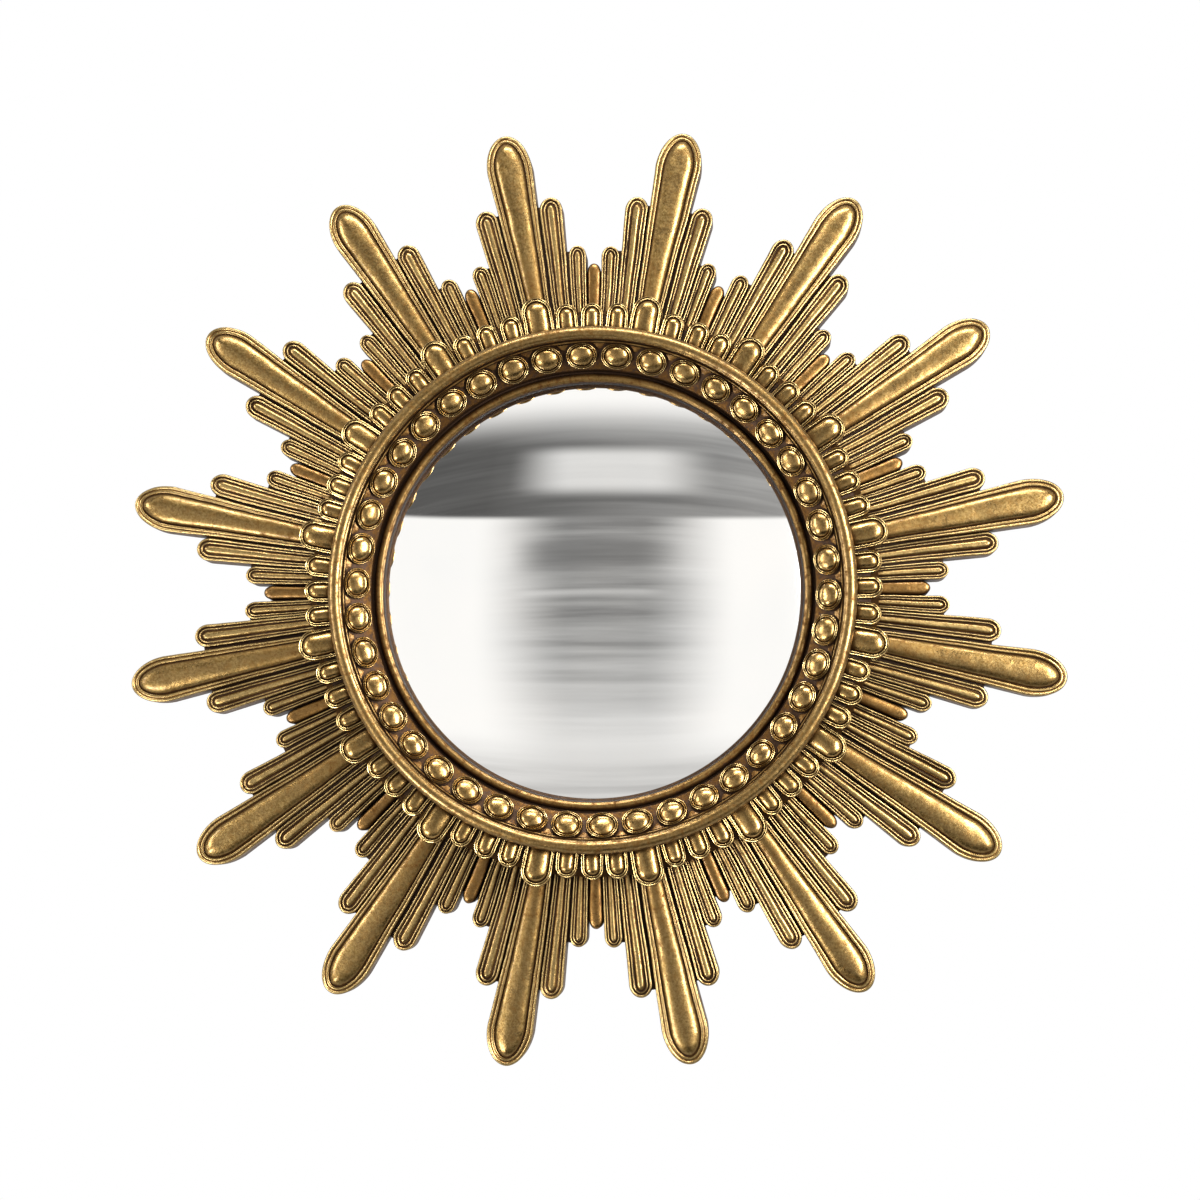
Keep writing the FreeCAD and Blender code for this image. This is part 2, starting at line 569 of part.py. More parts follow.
def hanger_ring():
    """The D-shaped ring of wire, hanging down from its bar as it does off its hook."""
    corner_at = KNUCKLE_AT - RING_CORNER
    corner_side = RING_HALF_W - RING_CORNER
    round_at = KNUCKLE_AT - RING_DROP + RING_HALF_W

    def side_bar(side):
        run = corner_at - round_at
        return Part.makeCylinder(WIRE_R, run, at(round_at, side, KNUCKLE_H), Vector(0, 0, 1))

    def bend(centre, radius, first):
        """A quarter of a ring of wire in the plane of the D, from a clock angle on."""
        circle = Part.Wire(Part.makeCircle(WIRE_R, centre.add(at(radius)), Vector(1, 0, 0)))
        quarter = Part.Face(circle).revolve(centre, Vector(0, 1, 0), 90)
        quarter.rotate(centre, Vector(0, 1, 0), first)
        return quarter

    bottom = at(round_at, 0, KNUCKLE_H)
    pieces = [bend(at(corner_at, corner_side, KNUCKLE_H), RING_CORNER, 0),
              bend(at(corner_at, -corner_side, KNUCKLE_H), RING_CORNER, 270),
              bend(bottom, RING_HALF_W, 90), bend(bottom, RING_HALF_W, 180),
              side_bar(RING_HALF_W), side_bar(-RING_HALF_W)]
    return cross_bar(WIRE_R, 2 * corner_side).fuse(pieces).removeSplitter()


def save(name, shapes):
    """Write one sub-part, as one solid or as a group of separate ones."""
    solids = [solid for shape in shapes for solid in shape.Solids]
    assert all(solid.isValid() for solid in solids), name
    whole = solids[0] if len(solids) == 1 else Part.makeCompound(solids)
    whole.exportStep(f"parts/{name}.step")
    print(f"{name}: {len(solids)} solid(s), {sum(s.Volume for s in solids) / 1000:.1f} cm3")


def save_at(name, shape, group, height):
    """Write a group of alike pieces, one at each of the spots."""
    save(name, [placed_at(shape, spot, height) for spot in group])


os.makedirs("parts", exist_ok=True)

fan = ray_fan()
for number, angle in enumerate(FAN_ANGLES, 1):
    save(f"ray_fan_{number:02d}", [clock(fan, angle)])
save_at("dart_rays", dart(), spots(SECTORS, 0), 0)
save("lobe_collar", [lobe_collar()])
save("ring_moulding", [ring_moulding()])
save_at("cabochon_beads", bead(), spots(BEADS, 0, BEAD_START), 0)
save("mirror_glass", [mirror_glass()])
save("glass_gasket", [glass_gasket()])
save("spacer_ring", [spacer_ring()])
save("back_board", [back_board()])
save("backing_ring", [backing_ring()])
save_at("fan_screws", countersunk(FAN_SCREW_L), FAN_SPOTS, BACK_FACE)
save_at("ring_screws", countersunk(RING_SCREW_L), RING_SPOTS, BACK_FACE)
button = turn_button()
for number, (angle, _) in enumerate(BUTTON_SPOTS, 1):
    save(f"turn_button_{number}", [clock(button, angle)])
under_head = BACK_FACE - BUTTON_LIFT - BUTTON_T - RUNNING_GAP
save_at("turn_button_screws", round_headed(SHORT_SCREW_L), BUTTON_SPOTS, under_head)
save("strap_hanger", [strap_hanger()])
save("hanger_ring", [hanger_ring()])
save_at("hanger_screws", round_headed(SHORT_SCREW_L), STRAP_SPOTS, BACK_FACE - STRAP_T)
save_at("wall_pads", rod(PAD_R, 0, PAD_T), PAD_SPOTS, 0)
print(f"radius over the long rays {LONG_TIP:.1f}, depth {OUTER_ROLL_H + OUTER_ROLL_R:.1f}")
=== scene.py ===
import math
import random

import bmesh
import bpy
from mathutils import Matrix, Vector, noise


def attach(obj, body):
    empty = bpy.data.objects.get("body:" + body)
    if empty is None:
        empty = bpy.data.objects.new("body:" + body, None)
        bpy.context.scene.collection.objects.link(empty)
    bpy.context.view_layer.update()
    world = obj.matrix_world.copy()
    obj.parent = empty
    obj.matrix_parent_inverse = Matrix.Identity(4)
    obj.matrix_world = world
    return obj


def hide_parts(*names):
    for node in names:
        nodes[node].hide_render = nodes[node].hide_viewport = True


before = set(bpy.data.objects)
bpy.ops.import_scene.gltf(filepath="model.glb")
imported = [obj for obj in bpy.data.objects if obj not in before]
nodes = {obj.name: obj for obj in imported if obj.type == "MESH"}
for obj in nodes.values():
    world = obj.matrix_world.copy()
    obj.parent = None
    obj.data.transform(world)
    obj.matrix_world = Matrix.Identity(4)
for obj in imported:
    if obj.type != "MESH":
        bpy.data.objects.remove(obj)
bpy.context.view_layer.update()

# The mirror hangs on the plane y = 0 and looks along -Y. Pieces are modelled in millimetres at the
# top of the dial, with x to the side, z out along the radius and -y towards the room, then turned
# clockwise to their places. "hollow" is painted on as they are made: 1 at the foot, 0 on open
# faces, and below 0 on crests that handling has polished, where the gilding is painted paler,
# partly as a painted highlight.


# ---- the turned ring ----
# A ring of limewood, turned on a faceplate, gessoed, burnished and gilded over red-brown bole.
# From the glass outwards it has a small roll, a quirk, the sloping bed for the beads, a fine
# fillet and the large outer roll. It is screwed to the plywood ring from behind.

MM = 0.001
RING_STEPS = 504
RING_R = 160.7                           # outer side of the ring, under its large roll
SIGHT_ROLL = (134.9, 46.8, 2.85)         # radius, height and half width of the small roll
OUTER_ROLL = (RING_R, 63.91, 4.3)
FILLET = (155.75, 61.3, 0.8)
REBATE_R = 138.0
LEDGE_R = 132.0                          # where the ledge over the glass ends
LEDGE_H = 44.0
SEAT_H = 16.0                            # front of the plywood ring
BED_LEAN = math.radians(22.0)
QUIRK_FLOOR = 46.2


def clock(degrees):
    """The turn that brings a piece from the top of the dial to its place."""
    return Matrix.Rotation(math.radians(degrees), 4, "Y")


def roll(middle, height, radius, first, last, steps, hollow=0.0):
    """Points on a roll's arc in a section, by angle from straight out, through the front."""
    turns = [math.radians(first + (last - first) * i / steps) for i in range(steps + 1)]
    return [(middle + radius * math.cos(a), height + radius * math.sin(a),
             hollow if math.sin(a) > 0.3 else 0.95) for a in turns]


def section_edges(bm, points, closed=False):
    """Draw a section in the plane above the dial's top, with its painted hollows."""
    layer = bm.verts.layers.float.get("hollow") or bm.verts.layers.float.new("hollow")
    verts = []
    for out, height, hollow in points:
        vert = bm.verts.new((0.0, -height, out))
        vert[layer] = hollow
        verts.append(vert)
    pairs = list(zip(verts, verts[1:] + verts[:1] if closed else verts[1:]))
    return verts + [bm.edges.new(pair) for pair in pairs]


def turned(bm, section, steps):
    """Spin a section right round the mirror's axis."""
    bmesh.ops.spin(bm, geom=section, cent=(0, 0, 0), axis=(0, 1, 0), angle=2 * math.pi,
                   steps=steps, use_merge=True, use_duplicate=False)


def hand_worked(bm, depth, length, seed=0.0):
    """Push the surface about a little, as carving and gesso leave it, but not at its foot."""
    layer = bm.verts.layers.float["hollow"]
    for vert in bm.verts:
        drift = noise.noise_vector(vert.co / length + Vector((seed, seed, seed)))
        vert.co += drift * depth * min(1.0, 1.0 - vert[layer])


def piece(bm, name, material):
    """Turn finished millimetre work into an object that rides on the frame."""
    bmesh.ops.remove_doubles(bm, verts=bm.verts, dist=0.002)
    bmesh.ops.recalc_face_normals(bm, faces=bm.faces)
    bmesh.ops.scale(bm, vec=(MM, MM, MM), verts=bm.verts)
    mesh = bpy.data.meshes.new(name)
    bm.to_mesh(mesh)
    bm.free()
    for polygon in mesh.polygons:
        polygon.use_smooth = True
    mesh.set_sharp_from_angle(angle=math.radians(58))
    made = bpy.data.objects.new(name, mesh)
    bpy.context.scene.collection.objects.link(made)
    mesh.materials.append(material)
    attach(made, "frame")
    return made


def node(tree, kind, *links, **settings):
    """Add a shader node. Each link is an input, and the value or socket that goes into it."""
    made = tree.nodes.new(kind)
    for key, value in settings.items():
        setattr(made, key, value)
    for socket, value in links:
        if isinstance(value, bpy.types.NodeSocket):
            tree.links.new(value, made.inputs[socket])
        else:
            made.inputs[socket].default_value = value
    return made


def speckle(tree, coords, scale, detail, low, high):
    """Noise on the piece's own coordinates, stretched so that low and high become 0 and 1."""
    grain = node(tree, "ShaderNodeTexNoise", ("Vector", coords), ("Scale", scale),
                 ("Detail", detail), ("Roughness", 0.62))
    spread = node(tree, "ShaderNodeMapRange", ("Value", grain.outputs["Fac"]),
                  ("From Min", low), ("From Max", high))
    return spread.outputs["Result"]


def mixed(tree, factor, first, second):
    """Blend two colours."""
    blend = node(tree, "ShaderNodeMix", (0, factor), (6, first), (7, second), data_type="RGBA")
    return blend.outputs[2]


def sums(tree, operation, first, second, clamp=False):
    """Add, subtract or multiply two values, held between 0 and 1 where clamp is set."""
    made = node(tree, "ShaderNodeMath", (0, first), (1, second), operation=operation)
    made.use_clamp = clamp
    return made.outputs[0]


def span(tree, value, low, high, first, last):
    """Map a range of a value onto another range, held at both ends."""
    made = node(tree, "ShaderNodeMapRange", ("Value", value), ("From Min", low),
                ("From Max", high), ("To Min", first), ("To Max", last))
    return made.outputs["Result"]


BOLE = (0.084, 0.038, 0.009, 1.0)
# The darkest brown: grime in the hollows, and painted shade where occlusion darkens the gilding.
GRIME_AND_SHADE = (0.024, 0.0092, 0.0018, 1.0)
PATINA_AND_SHADE_FADES = (0.176, 0.240)            # metres from the axis, where the brown patina and painted shade near the collar fade out


def gilding(name, leaf, olive, pale, shine, ripple, wear=0.16, patina_and_shade=0.0):
    """Water gilding: leaf in uneven patches, worn through to bole at its edges, dark in its hollows
    with grime and painted shade, paler on polished crests with a painted highlight, and darker near
    the collar with patina and painted shade.
    """
    material = bpy.data.materials.new(name)
    material.use_nodes = True
    tree = material.node_tree
    surface = tree.nodes["Principled BSDF"]
    coords = node(tree, "ShaderNodeTexCoord").outputs["Object"]
    patches = speckle(tree, coords, 85.0, 4.0, 0.36, 0.64)
    flecks = speckle(tree, coords, 700.0, 3.0, 0.40, 0.62)
    pits = speckle(tree, coords, 1150.0, 2.0, 0.50, 0.66)
    worn = speckle(tree, coords, 260.0, 5.0, 0.48, 0.74)
    painted = node(tree, "ShaderNodeAttribute", attribute_name="hollow").outputs["Fac"]
    # Painted shade: ambient occlusion darkens the gilding in recesses, between the rays and under the
    # roll, through the bole and grime mixes below.
    shelter = node(tree, "ShaderNodeAmbientOcclusion", ("Distance", 0.0055), samples=6)
    occlusion_shade = span(tree, shelter.outputs["AO"], 0.25, 0.85, 0.60, 0.0)
    sunk = sums(tree, "ADD", span(tree, painted, -1.0, 1.0, -0.35, 0.80), occlusion_shade)
    wear_and_shade = sums(tree, "ADD", sunk, sums(tree, "MULTIPLY", flecks, 0.22))
    wear_and_shade = sums(tree, "ADD", wear_and_shade, sums(tree, "MULTIPLY", worn, wear * 2.0))
    # Patina and painted shade: rays and darts darken towards the collar that overhangs them.
    flat = node(tree, "ShaderNodeVectorMath", (0, coords), (1, (1.0, 0.0, 1.0)), operation="MULTIPLY")
    out = node(tree, "ShaderNodeVectorMath", (0, flat.outputs[0]), operation="LENGTH")
    collar_patina_and_shade = span(tree, out.outputs["Value"], *PATINA_AND_SHADE_FADES, patina_and_shade, 0.0)
    wear_and_shade = sums(tree, "ADD", wear_and_shade, collar_patina_and_shade)
    rubbed_and_shaded = span(tree, wear_and_shade, 0.34, 0.78, 0.0, 1.0)
    dirt_and_shade = span(tree, wear_and_shade, 0.74, 1.15, 0.0, 1.0)
    colour = mixed(tree, patches, leaf, olive)
    colour = mixed(tree, sums(tree, "MULTIPLY", flecks, 0.36), colour, pale)
    # Polished crests are painted paler, partly as a painted highlight that makes lips and rims look
    # lit all round.
    polish_and_highlight = span(tree, painted, -1.0, 0.0, 0.72, 0.0)
    colour = mixed(tree, polish_and_highlight, colour, pale)
    colour = mixed(tree, sums(tree, "MULTIPLY", pits, 0.65), colour, BOLE)
    colour = mixed(tree, rubbed_and_shaded, colour, BOLE)
    colour = mixed(tree, dirt_and_shade, colour, GRIME_AND_SHADE)
    tree.links.new(colour, surface.inputs["Base Color"])
    tree.links.new(span(tree, dirt_and_shade, 0.0, 1.0, 1.0, 0.7), surface.inputs["Metallic"])
    uneven = span(tree, sums(tree, "ADD", patches, pits), 0.0, 1.4, shine, shine + 0.16)
    rough = sums(tree, "ADD", uneven, sums(tree, "MULTIPLY", rubbed_and_shaded, 0.22))
    tree.links.new(rough, surface.inputs["Roughness"])
    waves = node(tree, "ShaderNodeTexNoise", ("Vector", coords), ("Scale", 150.0), ("Detail", 2.0))
    grain = node(tree, "ShaderNodeTexNoise", ("Vector", coords), ("Scale", 1700.0), ("Detail", 3.0))
    soft = node(tree, "ShaderNodeBump", ("Strength", ripple), ("Distance", 0.0009),
                ("Height", waves.outputs["Fac"]))
    fine = node(tree, "ShaderNodeBump", ("Strength", 0.26), ("Distance", 0.00016),
                ("Height", grain.outputs["Fac"]), ("Normal", soft.outputs["Normal"]))
    tree.links.new(fine.outputs["Normal"], surface.inputs["Normal"])
    tree.links.new(span(tree, rubbed_and_shaded, 0.0, 1.0, 0.25, 0.0), surface.inputs["Coat Weight"])
    surface.inputs["Coat Roughness"].default_value = 0.16
    return material


ring_gilding = gilding("ring_gilding", (0.225, 0.134, 0.041, 1.0), (0.135, 0.078, 0.021, 1.0),
                       (0.46, 0.33, 0.14, 1.0), 0.25, 0.30, wear=0.28)

bm = bmesh.new()
# each point has its radius, its height and its painted hollow
ring_section = [(RING_R, SEAT_H, 1.0), (REBATE_R, SEAT_H, 1.0), (REBATE_R, LEDGE_H, 1.0),
                (LEDGE_R, LEDGE_H, 0.9)]
ring_section += roll(*SIGHT_ROLL, 215, -15, 18, 0.3)
ring_section += [(138.0, QUIRK_FLOOR + 0.1, 0.95), (138.9, QUIRK_FLOOR, 1.0),
                 (139.1, 49.5, 1.0), (139.4, 53.6, 0.85), (139.8, 54.5, 0.75),
                 (147.0, 57.4, 1.0), (154.4, 60.4, 0.95)]
ring_section += roll(*FILLET, 170, 20, 6, 0.1)
ring_section += [(156.6, 61.4, 0.95)]
ring_section += roll(*OUTER_ROLL, 200, -60, 28)
ring_section += [(161.6, 59.7, 0.8), (RING_R, 59.6, 1.0)]
turned(bm, section_edges(bm, ring_section, closed=True), RING_STEPS)
hand_worked(bm, 0.12, 24.0)
hand_worked(bm, 0.05, 6.0, seed=9.0)
turned_ring = piece(bm, "turned_ring", ring_gilding)
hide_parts("ring_moulding")


# ---- beads in their collets ----
# Forty-two domed beads stand round the bed, each in a thin double-lipped collet, pressed from
# composition in one mould and gilded. They are glued down while soft, so no two sit quite alike.

BEADS = 42
BEAD_START = 6.06                        # clock angle of the first bead
BEAD_AT = (147.85, 57.8)                 # radius and height of a bead's seat
BEAD_HALF = (9.86, 8.82)                 # half width along the ring, and across its bed
# each point has its share of the half width, its height and its painted hollow
BEAD_SECTION = [(1.00, 0.0, 1.0), (1.00, 1.4, 0.7), (0.994, 2.20, 0.1), (0.980, 2.66, -0.7),
                (0.956, 2.82, -1.0), (0.934, 2.68, -0.7), (0.916, 2.24, 0.3), (0.904, 1.82, 0.9),
                (0.892, 1.82, 0.9), (0.880, 2.30, 0.3), (0.862, 2.84, -0.7), (0.838, 3.02, -1.0),
                (0.814, 2.86, -0.7), (0.798, 2.30, 0.4), (0.788, 1.62, 1.0), (0.778, 1.58, 1.0)]
BEAD_DOME = (0.766, 1.6, 3.4)            # half width, floor and rise of the dome


def dome_points(half, floor, rise, steps, power=2.0, least=0.0):
    """Points up a dome's section, from its edge to its crest; a higher power flattens the top."""
    points = []
    for i in range(1, steps + 1):
        turn = math.pi / 2 * i / steps
        out = max(half * math.cos(turn), least)
        points.append((out, floor + rise * (1 - (out / half) ** power) ** (1 / power),
                       max(0.0, 0.8 - i * 2.4 / steps)))
    return points


def appended(bm, template, matrix):
    """Add a copy of a template mesh, moved by a matrix."""
    start = len(bm.verts)
    bm.from_mesh(template)
    bm.verts.ensure_lookup_table()
    bmesh.ops.transform(bm, matrix=matrix, verts=bm.verts[start:])


def on_bed(clock_angle):
    """The place of a piece that lies on the beads' sloping bed."""
    radius, height = BEAD_AT
    return (clock(clock_angle) @ Matrix.Translation((0, -height, radius))
            @ Matrix.Rotation(BED_LEAN, 4, "X"))


dice = random.Random(42)
bm = bmesh.new()
bead_points = BEAD_SECTION + dome_points(*BEAD_DOME, 10, 2.0)
outline = section_edges(bm, bead_points)
bmesh.ops.spin(bm, geom=outline, cent=(0, 0, 0), axis=(0, 1, 0), angle=2 * math.pi, steps=44,
               use_merge=True, use_duplicate=False)
bmesh.ops.remove_doubles(bm, verts=bm.verts, dist=0.0005)
bead_template = bpy.data.meshes.new("bead_template")
bm.to_mesh(bead_template)
bm.free()

bead_gilding = gilding("bead_gilding", (0.32, 0.186, 0.056, 1.0), (0.19, 0.108, 0.028, 1.0),
                       (0.54, 0.40, 0.17, 1.0), 0.17, 0.36, wear=0.10)
bm = bmesh.new()
for bead in range(BEADS):
    wide = BEAD_HALF[0] * dice.uniform(0.97, 1.02)
    deep = BEAD_HALF[1] * dice.uniform(0.96, 1.02)
    swung = Matrix.Rotation(dice.uniform(-0.10, 0.10), 4, "Y")
    sized = Matrix.Diagonal((wide, 1.0, deep, 1.0))
    appended(bm, bead_template, on_bed(BEAD_START + bead * 360.0 / BEADS) @ swung @ sized)
hand_worked(bm, 0.45, 11.0, seed=3.0)
hand_worked(bm, 0.07, 3.5, seed=5.0)
beads = piece(bm, "beads_in_collets", bead_gilding)
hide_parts("cabochon_beads")


# ---- triangles between the beads ----
# Low flat triangles fill the spaces between the collets on the outer side of the bed, their two
# free sides hollowed to follow the collets. They are part of the ring's composition ornament.

TRIANGLE_T = 0.8
TRIANGLE_SUNK = 0.6                      # how far its foot goes into the bed
TRIANGLE_BEVEL = 0.35
TRIANGLE_GAP = 0.9                       # between a triangle's side and the collet beside it
TRIANGLE_BASE = 7.2                      # where its base lies, out from the beads' line


def collet_side(turn, side):
    """A point just outside the collet on one side, by angle from straight out."""
    half_step = math.pi * BEAD_AT[0] / BEADS
    return (side * (half_step - (BEAD_HALF[0] + TRIANGLE_GAP) * math.sin(turn)),
            (BEAD_HALF[1] + TRIANGLE_GAP) * math.cos(turn))


bm = bmesh.new()
layer = bm.verts.layers.float.new("hollow")
turns = [math.radians(angle) for angle in (33, 41, 49, 57, 66)]
corners = [collet_side(turn, 1) for turn in turns] + [collet_side(t, -1) for t in turns[::-1]]
foot = [bm.verts.new((x, TRIANGLE_SUNK, min(z, TRIANGLE_BASE))) for x, z in corners]
flat = bm.faces.new(foot)
for vert in bm.verts:
    vert[layer] = 0.9
raised = bmesh.ops.extrude_face_region(bm, geom=[flat])["geom"]
crest = [item for item in raised if isinstance(item, bmesh.types.BMVert)]
bmesh.ops.translate(bm, verts=crest, vec=(0, -TRIANGLE_SUNK - TRIANGLE_T, 0))
for vert in crest:
    vert[layer] = 0.5
rim = [edge for edge in bm.edges if all(vert in crest for vert in edge.verts)]
bmesh.ops.bevel(bm, geom=rim, offset=TRIANGLE_BEVEL, segments=2, profile=0.5, affect="EDGES",
                material=-1)
triangle_template = bpy.data.meshes.new("triangle_template")
bm.to_mesh(triangle_template)
bm.free()

bm = bmesh.new()
for gap in range(BEADS):
    appended(bm, triangle_template, on_bed(BEAD_START + (gap + 0.5) * 360.0 / BEADS))
hand_worked(bm, 0.30, 6.0, seed=7.0)
triangles = piece(bm, "bed_triangles", ring_gilding)


# ---- the collar of lobes ----
# Sixty-four lobes stand round the outer roll like a frill, one large one over each long ray and
# three small ones between. Each is a burnished dome in a double-lipped rim. They are carved from
# one turned collar, which slips round the ring and sits on the rays.

SECTORS = 16
SECTOR = 360.0 / SECTORS
COLLAR_BORE = 161.0
LOBE_FACE = 59.3                         # height of the lobes' rims
COLLAR_REAR = 38.65
LOBE_T = 8.0
LARGE_LOBE = (188.0, 9.5)                # tip radius and half width
SMALL_LOBE = (180.8, 6.95)
SIDE_LOBE_AT = 5.95                      # degrees from a long ray
LOBE_FALL = 2.2                          # how far a dome has sunk at its root
CREST = 0.06                             # sections stop this near to a crest line


def tongue(section, nose, run, sweep, stations):
    """A raised tongue pointing up the dial: a section swung round its nose, then drawn back."""
    bm = bmesh.new()
    layer = bm.verts.layers.float.new("hollow")
    verts = []
    for out, height, hollow in section:
        vert = bm.verts.new((out, -height, 0.0))
        vert[layer] = hollow
        verts.append(vert)
    edges = [bm.edges.new(pair) for pair in zip(verts, verts[1:])]
    swung = bmesh.ops.spin(bm, geom=verts + edges, cent=(0, 0, 0), axis=(0, -1, 0),
                           angle=math.pi, steps=sweep, use_merge=False, use_duplicate=False)
    for vert in bm.verts:
        out = math.hypot(vert.co.x, vert.co.z)
        vert.co.z *= (nose - section[0][0] + out) / out
        vert.co.x = 0.0 if out < CREST else vert.co.x
    ends = edges + [item for item in swung["geom_last"] if isinstance(item, bmesh.types.BMEdge)]
    for station in range(stations):
        drawn = bmesh.ops.extrude_edge_only(bm, edges=ends)["geom"]
        moved = {item for item in drawn if isinstance(item, bmesh.types.BMVert)}
        ends = [item for item in drawn if isinstance(item, bmesh.types.BMEdge)
                and all(vert in moved for vert in item.verts)]
        bmesh.ops.translate(bm, verts=list(moved), vec=(0, 0, -run / stations))
    bmesh.ops.remove_doubles(bm, verts=bm.verts, dist=0.0005)
    root = [edge for edge in bm.edges if all(v.co.z < 0.001 - run for v in edge.verts)]
    sides = sorted((v for edge in root for v in edge.verts if v[layer] == 1.0), key=lambda v: v.co.x)
    closing = bm.edges.new((sides[0], sides[-1]))
    bmesh.ops.contextual_create(bm, geom=root + [closing])
    bmesh.ops.contextual_create(bm, geom=[edge for edge in bm.edges if edge.is_boundary])
    return bm


def double_lip(half, foot):
    """The outer part of a section: a wall, a thin outer lip, a fine groove and the main lip."""
    return [(half, foot, 1.0), (half, -2.2, 0.8), (half - 0.04, -0.90, 0.4),
            (half - 0.20, -0.30, -0.5), (half - 0.48, -0.06, -1.0), (half - 0.78, -0.20, -0.6),
            (half - 0.96, -0.62, 0.8), (half - 1.12, -0.66, 0.8), (half - 1.28, -0.36, 0.2),
            (half - 1.56, -0.04, -0.8), (half - 1.86, 0.0, -1.0), (half - 2.10, -0.24, -0.4),
            (half - 2.32, -0.90, 0.8)]


def lobe(tip, half, rise):
    """A lobe's mesh, its dome falling away towards the roll that it comes out from under."""
    moat = [(half - 2.45, -1.2, 0.8), (half - 2.60, -1.25, 0.8)]
    core = half - 2.72
    section = double_lip(half, -LOBE_T) + moat + dome_points(core, -1.25, rise, 9, 2.0, 0.05)
    nose = half * 1.03
    run = tip - nose - COLLAR_BORE
    made = tongue(section, nose, run, 26, 7)
    for vert in made.verts:
        back = max(0.0, -vert.co.z / run)
        if abs(vert.co.x) < core:
            vert.co.y += LOBE_FALL * back ** 2
    bmesh.ops.translate(made, verts=made.verts, vec=(0, -LOBE_FACE, tip - nose))
    template = bpy.data.meshes.new("lobe_template")
    made.to_mesh(template)
    made.free()
    return template


lobe_gilding = gilding("lobe_gilding", (0.34, 0.200, 0.062, 1.0), (0.21, 0.120, 0.032, 1.0),
                       (0.57, 0.42, 0.17, 1.0), 0.16, 0.40)
bm = bmesh.new()
# the collar behind its lobes, by radius, height and painted hollow
collar_section = [(COLLAR_BORE, COLLAR_REAR, 1.0), (178.5, COLLAR_REAR, 1.0),
                  (178.5, 41.7, 0.9), (173.5, 45.7, 0.9), (173.3, 54.0, 1.0),
                  (COLLAR_BORE, 56.0, 1.0)]
turned(bm, section_edges(bm, collar_section, closed=True), 192)
large_lobe = lobe(*LARGE_LOBE, 3.6)
small_lobe = lobe(*SMALL_LOBE, 2.7)
dice = random.Random(64)
for sector in range(SECTORS):
    middle = (sector + 0.5) * SECTOR
    for template, angle in ((large_lobe, 0.0), (small_lobe, SECTOR / 2),
                            (small_lobe, -SIDE_LOBE_AT), (small_lobe, SIDE_LOBE_AT)):
        sway = clock(middle + angle + dice.uniform(-0.12, 0.12))
        settled = Matrix.Translation((0, dice.uniform(-0.2, 0.2), dice.uniform(-0.5, 0.2)))
        appended(bm, template, sway @ settled)
hand_worked(bm, 0.5, 12.0, seed=13.0)
hand_worked(bm, 0.08, 4.0, seed=15.0)
collar = piece(bm, "collar_of_lobes", lobe_gilding)
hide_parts("lobe_collar")


# ---- the fans of rays ----
# Sixteen fans make the sunburst. Each is carved from one block: a long club-shaped ray with a
# plain domed face, then a medium and a small ribbed ray on each side, and webs between them.
# The faces lean back towards the tips. Two screws from behind hold each fan.

LONG_TIP = 301.4
LEAN = math.radians(-6.3)
TIP_FACE = 27.0
FAN_ROOT = 161.0
WEB_FACE = 21.5
MEDIUM_AT = 4.85                         # degrees from the long ray
SMALL_AT = 8.3
WEBS = ((MEDIUM_AT, 250.8), (SMALL_AT, 219.2), (9.89, 205.5))   # half angle, outer radius
STEP_BACK = 0.12                         # keeps flat faces that overlap out of one plane
DEPTH_SHARE = 0.45                       # how much of a ray's narrowing its depth takes on


def leaned(face):
    """The lean of a carved face about its height at the long rays' tips."""
    pivot = Vector((0, -face, LONG_TIP))
    return Matrix.Translation(pivot) @ Matrix.Rotation(LEAN, 4, "X") @ Matrix.Translation(-pivot)


def ray(section, tip, nose, root_share, face, sweep=28, stations=30):
    """A ray's mesh: a tongue that narrows to its root, its carving growing finer with it."""
    run = tip - nose - FAN_ROOT
    made = tongue(section, nose, run, sweep, stations)
    layer = made.verts.layers.float["hollow"]
    for vert in made.verts:
        back = max(0.0, -vert.co.z / run)
        vert.co.x *= 1 + (root_share - 1) * back
        vert.co.y *= 1 + (root_share - 1) * back * DEPTH_SHARE
    bmesh.ops.translate(made, verts=made.verts, vec=(0, -face, tip - nose))
    bmesh.ops.transform(made, matrix=leaned(face), verts=made.verts)
    for vert in made.verts:
        if vert[layer] == 1.0:
            vert.co.y = -SEAT_H
    template = bpy.data.meshes.new("ray_template")
    made.to_mesh(template)
    made.free()
    return template


FOOT = -9.0                              # brought to the fan's flat back once the ray leans
LONG_HALF = 14.6
long_section = [(LONG_HALF, FOOT, 1.0), (LONG_HALF, -3.0, 0.7), (14.52, -1.3, 0.35),
                (14.27, -0.50, -0.2), (13.85, -0.12, -0.6), (13.30, 0.00, -0.7),
                (12.80, -0.15, -0.4), (12.45, -0.50, 0.3), (12.20, -0.88, 0.7),
                (11.95, -0.90, 0.7), (11.60, -0.58, 0.2), (11.10, -0.40, -0.5),
                (10.50, -0.45, -0.4), (10.00, -0.65, 0.2), (9.70, -1.00, 0.45),
                (9.45, -1.25, 0.6), (9.25, -1.28, 0.6)]
long_section += dome_points(9.15, -1.25, 3.7, 14, 2.1, 0.05)
long_ray = ray(long_section, LONG_TIP, 24.0, 0.466, TIP_FACE, sweep=36, stations=36)

